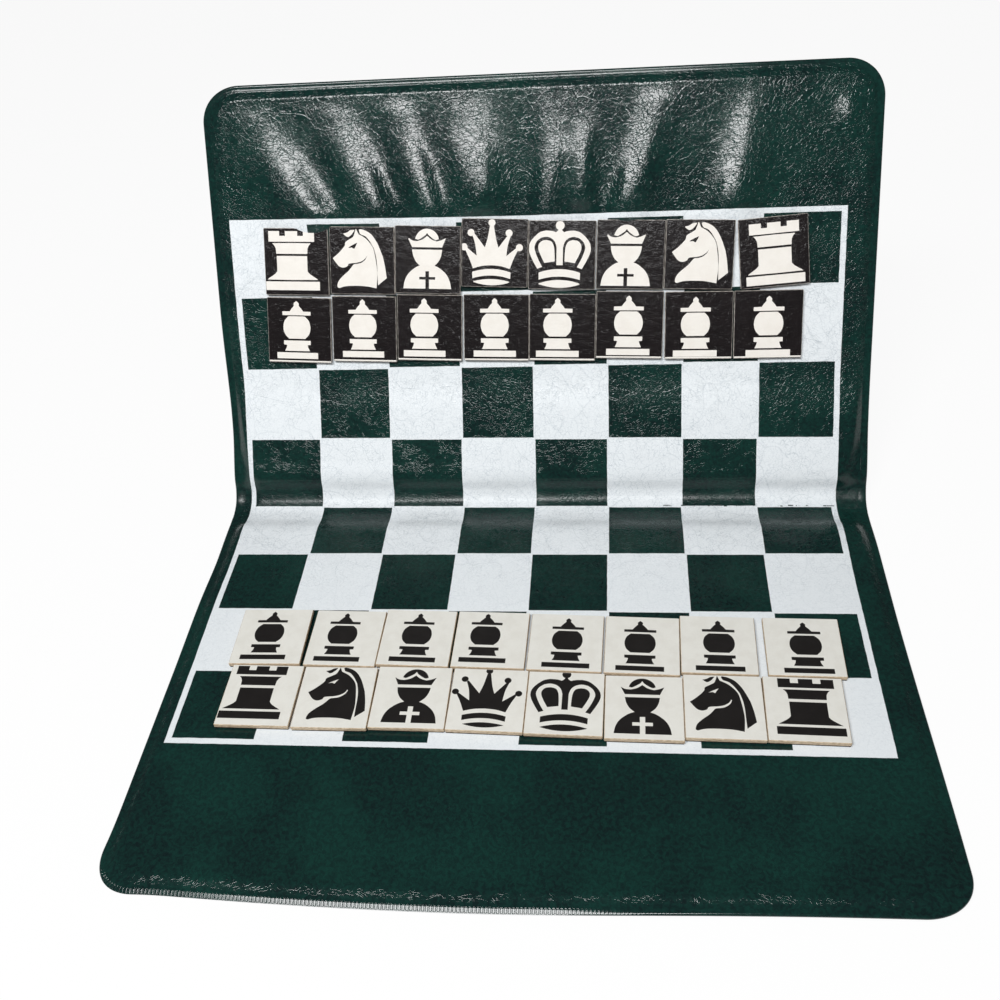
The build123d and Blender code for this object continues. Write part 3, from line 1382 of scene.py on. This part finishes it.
def draw_king() -> list[Outline]:
    """Draw a closed crown: a ball, two hoops round two drops, over a band and a lens."""
    left = Pen(0.0, 17.0).to((-0.45, 16.2)).smooth((-0.65, 15.9), (-1.15, 15.5))
    left.smooth((-2.4, 15.85), (-4.1, 15.95))
    left.smooth(
        (-5.8, 15.45), (-7.5, 14.0), (-8.5, 12.6), (-8.85, 11.0), (-8.5, 9.4), (-7.5, 7.3), (-6.4, 5.4)
    )
    left.to((-5.2, 5.85)).smooth((-6.3, 7.9), (-7.1, 9.8), (-7.45, 11.4), (-6.85, 13.0), (-5.6, 14.1))
    left.smooth((-4.0, 14.45), (-2.4, 14.0), (-1.3, 12.9), (-0.8, 11.3)).to((-0.8, 6.45), (0.0, 6.45))
    drop = Pen(-3.8, 13.3).smooth((-2.5, 12.85), (-1.85, 11.6), (-1.6, 9.5), (-1.55, 7.5)).to((-4.35, 7.05))
    drop.smooth((-5.45, 9.2), (-6.1, 11.0), (-5.9, 12.3), (-5.0, 13.1), (-3.8, 13.3))
    band = Pen(-5.9, 4.1).arc((0.0, 5.1), (5.9, 4.1)).to((5.85, 2.3)).arc((0.0, 3.2), (-5.9, 2.3))
    lens = Pen(-5.9, 1.0).arc((0.0, 2.0), (5.9, 1.0)).arc((0.0, 0.0), (-5.9, 1.0))
    return [
        mirrored(left.points),
        drop.points[:-1],
        [(-x, y) for x, y in reversed(drop.points[:-1])],
        band.points,
        lens.points,
        ball(0.0, 17.5, 1.15),
    ]


def draw_knight() -> list[Outline]:
    """Draw a horse's head that looks left, with its forelock, mane, jaw and eye."""
    head = Pen(-0.85, 16.95).to((-0.25, 15.45)).smooth((1.7, 14.35), (3.15, 12.9), (4.1, 11.3), (4.6, 9.0))
    head.smooth((4.95, 6.4), (5.1, 3.8), (4.8, 0.1))
    head.smooth((2.0, 0.6), (-1.2, 0.75), (-4.4, 0.6), (-6.25, 0.05))
    head.smooth((-6.8, 0.4), (-6.4, 1.9), (-5.1, 3.35), (-3.2, 5.0), (-1.9, 6.6)).to((-1.55, 6.8))
    head.smooth((0.4, 7.15), (1.85, 8.2), (2.4, 9.4)).to((2.2, 9.6))
    head.smooth((1.7, 8.7), (0.4, 7.8), (-1.2, 7.4))
    head.smooth((-3.3, 7.15), (-3.8, 6.4), (-5.1, 6.0), (-6.4, 6.6), (-7.9, 8.6))
    head.smooth((-6.4, 9.8), (-5.1, 11.1))
    head.smooth((-4.2, 12.25), (-4.0, 13.2), (-2.4, 14.2), (-1.55, 14.9), (-0.85, 16.95))
    forelock = Pen(-4.55, 15.6).smooth((-3.5, 14.85), (-2.7, 15.15), (-1.9, 16.0), (-1.5, 16.65))
    forelock.smooth((-2.5, 16.5), (-3.5, 15.9), (-4.55, 15.6))
    mane = Pen(0.1, 16.65)
    mane.smooth((0.55, 16.8), (2.0, 16.4), (3.6, 15.35), (4.95, 13.55), (5.9, 11.6), (6.9, 9.0))
    mane.smooth((7.5, 6.1), (7.9, 3.0)).to((5.5, 1.0))
    mane.smooth((5.4, 3.8), (5.35, 6.4), (5.1, 9.0), (4.45, 11.6))
    mane.smooth((3.3, 13.55), (2.0, 15.0), (0.55, 15.65), (0.1, 16.65))
    eye = Pen(-3.2, 11.6).smooth((-2.0, 12.3), (-0.65, 12.95)).to((-1.2, 12.1), (-1.55, 11.45), (-2.2, 11.8))
    return [head.points[:-1], forelock.points[:-1], mane.points[:-1], eye.points]


class Figure(Enum):
    """The six kinds of chessmen, each with what draws its outlines."""

    ROOK = "rook"
    KNIGHT = "knight"
    BISHOP = "bishop"
    QUEEN = "queen"
    KING = "king"
    PAWN = "pawn"

    def outlines(self) -> list[Outline]:
        """Draw the figure."""
        draw: dict[Figure, Callable[[], list[Outline]]] = {
            Figure.ROOK: draw_rook,
            Figure.KNIGHT: draw_knight,
            Figure.BISHOP: draw_bishop,
            Figure.QUEEN: draw_queen,
            Figure.KING: draw_king,
            Figure.PAWN: draw_pawn,
        }
        return draw[self]()


def grown(outline: Outline, growth: float) -> Outline:
    """Move an outline outwards, as ink that runs makes a figure wider.

    Args:
        outline: The outline's points.
        growth: How far it moves.

    Returns:
        The wider outline.
    """
    points = [Vector(point) for point in outline]
    after = points[1:] + points[:1]
    area = sum(a.x * b.y - b.x * a.y for a, b in zip(points, after))
    turn = 1.0 if area > 0 else -1.0
    sides = [(b - a).normalized() for a, b in zip(points, after)]
    outwards = [Vector((side.y, -side.x)) * turn for side in sides]
    before = outwards[-1:] + outwards[:-1]
    moved = []
    for point, first, second in zip(points, before, outwards):
        middle = first + second
        moved.append(tuple(point + middle * (growth / max(middle.length_squared / 2, 0.6))))
    return moved


def inside(outline: Outline, x: float, y: float) -> bool:
    """Tell whether a point lies inside an outline.

    Args:
        outline: The outline's points.
        x: Place across.
        y: Place above the foot.

    Returns:
        True if it does.
    """
    hit = False
    for (x0, y0), (x1, y1) in zip(outline, outline[1:] + outline[:1]):
        if (y0 > y) != (y1 > y) and x < x0 + (y - y0) / (y1 - y0) * (x1 - x0):
            hit = not hit
    return hit


# Tiles


class Layer(Enum):
    """Surfaces of a tile, in the order of its mesh's materials."""

    GROUND = 0
    FIGURE = 1
    CUT_SIDE = 2
    MAGNET = 3


@dataclass(frozen=True)
class TileFinish:
    """Finishes of one side's tiles.

    Attributes:
        ground: The card round the figure.
        figure: The figure.
        cut_side: The card's cut sides.
        magnet: The magnet sheet under it.
    """

    ground: CardFinish
    figure: CardFinish
    cut_side: LayeredFinish
    magnet: LayeredFinish = LayeredFinish(paint(42, 36, 30), paint(24, 20, 18))

    def build(self, side: Side) -> list[bpy.types.Material]:
        """Build the materials of one side's tiles, in the order of Layer."""
        parts = (self.ground, self.figure, self.cut_side, self.magnet)
        return [part.build(f"{side.value}_tile_{layer.name.lower()}") for part, layer in zip(parts, Layer)]


TILE_FINISHES = {
    Side.WHITE: TileFinish(
        ground=CardFinish(paint(229, 228, 221), paint(221, 219, 211), 0.38),
        figure=CardFinish(paint(21, 18, 17), paint(28, 25, 24), 0.34),
        cut_side=LayeredFinish(paint(214, 196, 170), paint(168, 146, 118)),
    ),
    Side.BLACK: TileFinish(
        ground=CardFinish(paint(19, 15, 16), paint(27, 22, 23), 0.13, 0.05, 0.42),
        figure=CardFinish(paint(236, 232, 225), paint(229, 224, 216), 0.5),
        cut_side=LayeredFinish(paint(206, 200, 192), paint(120, 112, 106)),
    ),
}


@dataclass(frozen=True)
class Tile:
    """One magnetic tile: a printed card on a magnet sheet.

    Attributes:
        name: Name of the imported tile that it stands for.
        side: Whose tile it is.
        figure: What is printed on it.
        off_middle: How far the figure's middle lies right of the tile's.
        foot: How far the figure's foot lies above the tile's near edge.
        growth: How much the print is wider than the figure was drawn.
        size: Size of the card.
        thickness: Thickness of the whole tile.
        magnet: Thickness of the magnet sheet.
        tuck: How far the magnet sheet lies inside the card's edge.
        corner: Radius of the corners.
        bare: Width of the strip along the near edge that the print has left bare.
        margin: How far the print keeps from the card's edge.
        bevel: How far the card's edges are bevelled.
        texture_step: How far apart two tiles are cut from the card's texture.
        far_slope: Slope of the far cover, in degrees.
        most_turn: How far a tile is turned at most, in degrees.
    """

    name: str
    side: Side
    figure: Figure
    off_middle: float
    foot: float
    growth: float
    size: float = 19.4
    thickness: float = 1.6
    magnet: float = 0.5
    tuck: float = 0.14
    corner: float = 0.3
    bare: float = 0.0
    margin: float = 0.2
    bevel: float = 0.14
    texture_step: float = 23.0
    far_slope: float = 62.0
    most_turn: float = 8.0

    def place(self, node: bpy.types.Object) -> Matrix:
        """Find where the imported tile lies.

        Args:
            node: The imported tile.

        Returns:
            The matrix from the tile's own millimetres to the set's metres. The tile's own origin is
            the middle of its underside.
        """
        points = np.array([vertex.co for vertex in node.data.vertices])
        tilt = 0.0 if self.side is Side.WHITE else math.radians(self.far_slope)
        ahead = np.array([0.0, math.cos(tilt), math.sin(tilt)])
        up = np.array([0.0, -math.sin(tilt), math.cos(tilt)])
        right = np.array([1.0, 0.0, 0.0])
        middle = (points.min(axis=0) + points.max(axis=0)) / 2
        flat = np.stack([(points - middle) @ right, (points - middle) @ ahead], axis=1)
        # Of all turns, a square is narrowest at the one that is square to its sides
        turns = np.radians(np.arange(-self.most_turn, self.most_turn + 0.01, 0.05))
        widths = [np.ptp(flat @ np.array([math.cos(turn), math.sin(turn)])) for turn in turns]
        turn = turns[int(np.argmin(widths))]
        own_right = right * math.cos(turn) + ahead * math.sin(turn)
        own_ahead = ahead * math.cos(turn) - right * math.sin(turn)
        ends = [(points - middle) @ axis for axis in (own_right, own_ahead, up)]
        shift = [(end.min() + end.max()) / 2 for end in ends]
        origin = middle + own_right * shift[0] + own_ahead * shift[1] + up * ends[2].min()
        axes = np.column_stack([own_right * MM, own_ahead * MM, up * MM, origin])
        return Matrix([*axes.tolist(), [0.0, 0.0, 0.0, 1.0]])

    def ring(self, inset: float) -> Outline:
        """Outline of the tile, drawn in by an inset.

        Args:
            inset: How far.

        Returns:
            Points counter-clockwise.
        """
        half, steps = self.size / 2 - inset, 4
        radius = max(self.corner - inset, 0.12)
        points = []
        for quarter in range(4):
            turn = quarter * math.pi / 2
            middle_x = (half - radius) * (math.cos(turn) - math.sin(turn))
            middle_y = (half - radius) * (math.sin(turn) + math.cos(turn))
            for step in range(steps + 1):
                angle = turn + step / steps * math.pi / 2
                points.append((middle_x + radius * math.cos(angle), middle_y + radius * math.sin(angle)))
        return points

    def printed_face(self, rim: Outline) -> tuple[list[Point], list[tuple[int, ...]], list[Layer]]:
        """Cut the tile's face into what is figure and what is ground.

        Args:
            rim: Outline of the face.

        Returns:
            Points, the rim's first, triangles of them, and each triangle's layer.
        """
        foot = self.foot - self.size / 2
        outlines = [grown(outline, self.growth) for outline in self.figure.outlines()]
        drawn = [[(x + self.off_middle, y + foot) for x, y in outline] for outline in outlines]
        limit = self.size / 2 - self.margin
        if self.bare:
            drawn.append(bar(-limit, limit, -limit, self.bare - limit))
        drawn = [
            [(max(-limit, min(limit, x)), max(-limit, min(limit, y))) for x, y in outline]
            for outline in drawn
        ]
        places = [Vector(place) for place in rim]
        edges = [(index, (index + 1) % len(rim)) for index in range(len(rim))]
        for outline in drawn:
            first = len(places)
            places.extend(Vector(place) for place in outline)
            edges.extend((first + index, first + (index + 1) % len(outline)) for index in range(len(outline)))
        found, _, triangles, sources, _, _ = delaunay_2d_cdt(places, edges, [], 0, 1e-5)
        order = {}
        for index, source in enumerate(sources):
            order.update({given: index for given in source if given < len(rim)})
        renumber = [order[index] for index in range(len(rim))]
        renumber += [index for index in range(len(found)) if index not in set(renumber)]
        number = {old: new for new, old in enumerate(renumber)}
        points = [tuple(found[old]) for old in renumber]
        faces, layers = [], []
        for triangle in triangles:
            corners = [found[index] for index in triangle]
            middle = sum(corners, Vector((0.0, 0.0))) / len(corners)
            hits = sum(inside(outline, middle.x, middle.y) for outline in drawn)
            # Only the knight has an outline inside another one, which is its eye
            printed = hits % 2 == 1 if self.figure is Figure.KNIGHT else hits > 0
            faces.append(tuple(number[index] for index in triangle))
            layers.append(Layer.FIGURE if printed else Layer.GROUND)
        return points, faces, layers

    def build(
        self, node: bpy.types.Object, finishes: list[bpy.types.Material], number: int
    ) -> bpy.types.Object:
        """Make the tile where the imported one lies.

        Args:
            node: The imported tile.
            finishes: Materials in the order of Layer.
            number: The tile's number, which sets its part of the card's texture.

        Returns:
            The tile's object.
        """
        # Height, inset and surface of each ring, from the underside up
        steps = (
            (0.0, self.tuck + 0.08, Layer.MAGNET),
            (0.08, self.tuck, Layer.MAGNET),
            (self.magnet - 0.04, self.tuck, Layer.MAGNET),
            (self.magnet, self.tuck + 0.04, Layer.CUT_SIDE),
            (self.magnet, 0.1, Layer.CUT_SIDE),
            (self.magnet + 0.1, 0.0, Layer.CUT_SIDE),
            (self.thickness - 0.16, 0.0, Layer.CUT_SIDE),
            (self.thickness, self.bevel, Layer.GROUND),
        )
        rings = [self.ring(inset) for _, inset, _ in steps]
        count = len(rings[0])
        points = [(x, y, height) for (height, _, _), ring in zip(steps, rings) for x, y in ring]
        faces, layers = [tuple(range(count))[::-1]], [Layer.MAGNET]
        for level, (_, _, layer) in enumerate(steps[:-1]):
            low, high = level * count, (level + 1) * count
            for index in range(count):
                after = (index + 1) % count
                faces.append((low + index, low + after, high + after, high + index))
                layers.append(layer)
        top_points, top_faces, top_layers = self.printed_face(rings[-1])
        base = (len(steps) - 1) * count
        points.extend((x, y, self.thickness) for x, y in top_points[count:])
        faces.extend(tuple(base + index for index in face) for face in top_faces)
        layers.extend(top_layers)
        mesh = bpy.data.meshes.new(f"{self.name}_tile")
        mesh.from_pydata(points, [], faces)
        mesh.polygons.foreach_set("material_index", [layer.value for layer in layers])
        shift = self.texture_step * number
        flat = []
        for polygon in mesh.polygons:
            for index in polygon.vertices:
                x, y, height = points[index]
                level = polygon.normal.z > 0.9
                flat.extend((x + shift, y) if level else (x + y + shift, height))
        mesh.uv_layers.new(name=FLAT_MAP).uv.foreach_set("vector", flat)
        mesh.transform(self.place(node))
        for finish in finishes:
            mesh.materials.append(finish)
        tile = show(mesh.name, mesh)
        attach(tile, self.name)
        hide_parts(self.name)
        return tile


@dataclass
class TileSet:
    """The 32 tiles, with where each figure lies on its tile.

    Each row of eight goes from the leftmost tile to the rightmost one. It says how far the figure's
    middle lies right of the tile's middle, and how far its foot lies above the tile's near edge.

    Attributes:
        officers: Name and figure of each tile in a row of officers.
        pawns: Name and figure of each tile in a row of pawns.
        black_officers: Where the figures of the farthest row lie.
        black_pawns: Where those of the row before it lie.
        white_pawns: Where those of the next row lie, on the near cover.
        white_officers: Where those of the nearest row lie.
        black_growth: How much wider than drawn the light figures of the black tiles are.
        black_bare: Width of the bare strip on the black pawns.
    """

    officers: tuple[tuple[str, Figure], ...] = (
        ("rook_a", Figure.ROOK), ("knight_b", Figure.KNIGHT), ("bishop_c", Figure.BISHOP),
        ("queen", Figure.QUEEN), ("king", Figure.KING), ("bishop_f", Figure.BISHOP),
        ("knight_g", Figure.KNIGHT), ("rook_h", Figure.ROOK),
    )
    pawns: tuple[tuple[str, Figure], ...] = tuple((f"pawn_{file}", Figure.PAWN) for file in "abcdefgh")
    black_officers: tuple[Point, ...] = (
        (-1.3, 1.5), (-0.75, 1.75), (-0.15, 1.5), (-0.85, 0.6),
        (-0.65, 0.5), (-1.25, 0.95), (0.25, 1.7), (0.2, 0.8),
    )
    black_pawns: tuple[Point, ...] = (
        (-0.75, 1.3), (-0.45, 1.45), (-1.6, 1.3), (-0.5, 1.3),
        (-1.4, 1.2), (-0.3, 1.1), (-0.95, 0.8), (0.1, 0.7),
    )
    white_pawns: tuple[Point, ...] = (
        (-0.9, 1.55), (-1.05, 1.45), (-0.25, 1.3), (-1.6, 1.7),
        (0.3, 1.1), (-0.55, 1.0), (0.2, 0.95), (0.55, 0.95),
    )
    white_officers: tuple[Point, ...] = (
        (-1.3, 2.1), (0.6, 2.4), (0.4, 1.7), (-0.4, 1.1),
        (0.0, 1.15), (-0.4, 1.65), (-0.35, 2.25), (0.7, 1.95),
    )
    black_growth: float = 0.12
    black_bare: float = 0.42

    def tiles(self) -> list[Tile]:
        """List the tiles, row by row."""
        rows = (
            (Side.BLACK, self.officers, self.black_officers, self.black_growth, 0.0),
            (Side.BLACK, self.pawns, self.black_pawns, self.black_growth, self.black_bare),
            (Side.WHITE, self.pawns, self.white_pawns, 0.0, 0.0),
            (Side.WHITE, self.officers, self.white_officers, 0.0, 0.0),
        )
        tiles = []
        for side, names, places, growth, bare in rows:
            for (name, figure), (off_middle, foot) in zip(names, places):
                tiles.append(Tile(f"{side.value}_{name}", side, figure, off_middle, foot, growth, bare=bare))
        return tiles

    def build(self, nodes: dict[str, bpy.types.Object]) -> list[bpy.types.Object]:
        """Make all tiles.

        Args:
            nodes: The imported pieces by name.

        Returns:
            The tiles' objects.
        """
        finishes = {side: finish.build(side) for side, finish in TILE_FINISHES.items()}
        return [
            tile.build(nodes[tile.name], finishes[tile.side], number)
            for number, tile in enumerate(self.tiles())
        ]


# Studio


@dataclass(frozen=True)
class Lamp:
    """One soft lamp, aimed at the middle of the set.

    Attributes:
        name: Its name.
        azimuth: Direction that it shines from, in degrees right of the player.
        elevation: Its height above the floor, in degrees.
        distance: How far away it stands, in metres.
        width: Its size across, in metres.
        height: Its other size, in metres.
        brightness: Its radiance.
    """

    name: str
    azimuth: float
    elevation: float
    distance: float
    width: float
    height: float
    brightness: float

    def build(self, target: Vector) -> None:
        """Set up the lamp.

        Args:
            target: Where it is aimed.
        """
        turn, tilt = math.radians(self.azimuth), math.radians(self.elevation)
        away = Vector((math.sin(turn) * math.cos(tilt), -math.cos(turn) * math.cos(tilt), math.sin(tilt)))
        data = bpy.data.lights.new(self.name, "AREA")
        data.shape = "RECTANGLE"
        data.size, data.size_y = self.width, self.height
        data.energy = self.brightness * math.pi * self.width * self.height
        lamp = show(self.name, data)
        lamp.location = target + away * self.distance
        lamp.rotation_euler = away.to_track_quat("Z", "Y").to_euler()


@dataclass(frozen=True)
class Studio:
    """Floor, lamps, surroundings and camera.

    Attributes:
        target: Where the lamps are aimed.
        lamps: The lamps.
        surroundings: Strength of the even light from all round.
        camera_place: Place of the camera.
        camera_turn: Its turn about X, Y and Z in degrees.
        lens: Its focal length.
        sensor: Width of its sensor.
        floor_size: Size of the floor.
        floor_drop: How far the floor lies under the set.
    """

    target: tuple[float, float, float] = (0.0, 10.0, 30.0)
    lamps: tuple[Lamp, ...] = (
        Lamp("key_lamp", -15.0, 55.0, 0.75, 0.47, 0.155, 27.0),
    )
    surroundings: float = 0.08
    camera_place: tuple[float, float, float] = (21.53, -208.15, 220.18)
    camera_turn: tuple[float, float, float] = (48.290, 4.178, 4.341)
    lens: float = 38.379
    sensor: float = 36.0
    floor_size: float = 6000.0
    floor_drop: float = 0.1

    def build(self) -> None:
        """Set up everything round the object."""
        self.lay_floor()
        for lamp in self.lamps:
            lamp.build(Vector(self.target) * MM)
        self.light_surroundings()
        self.place_camera()
        bpy.context.scene.view_settings.view_transform = "Standard"

    def lay_floor(self) -> None:
        """Lay the floor."""
        half = self.floor_size / 2 * MM
        corners = [(-half, -half), (half, -half), (half, half), (-half, half)]
        mesh = bpy.data.meshes.new("floor")
        mesh.from_pydata([(x, y, -self.floor_drop * MM) for x, y in corners], [], [(0, 1, 2, 3)])
        mesh.materials.append(FloorFinish().build("pale_floor"))
        show("floor", mesh)

    def light_surroundings(self) -> None:
        """Fill the surroundings with an even grey."""
        world = bpy.data.worlds.new("surroundings")
        world.use_nodes = True
        background = world.node_tree.nodes["Background"]
        background.inputs["Color"].default_value = (1.0, 1.0, 1.0, 1.0)
        background.inputs["Strength"].default_value = self.surroundings
        bpy.context.scene.world = world

    def place_camera(self) -> None:
        """Set up the camera where the photograph was taken from."""
        data = bpy.data.cameras.new("camera")
        data.lens = self.lens
        data.sensor_width = self.sensor
        data.clip_start, data.clip_end = 0.01, 10.0
        camera = show("camera", data)
        camera.location = Vector(self.camera_place) * MM
        camera.rotation_euler = Euler([math.radians(angle) for angle in self.camera_turn], "XYZ")
        bpy.context.scene.camera = camera


def main() -> None:
    """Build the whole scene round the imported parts."""
    logging.basicConfig(level=logging.INFO, format="%(name)s: %(message)s")
    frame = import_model()
    wallet = Wallet()
    wallet.build()
    for sheet in wallet.sheets:
        log.info("%s has %d faces", sheet.name, len(sheet.data.polygons))
    Stiffening().build(frame["nodes"])
    log.info("dressed the steel sheets and the stiffening boards")
    for tile in TileSet().build(frame["nodes"]):
        log.info("%s has %d faces", tile.name, len(tile.data.polygons))
    Studio().build()


if __name__ == "__main__":
    main()
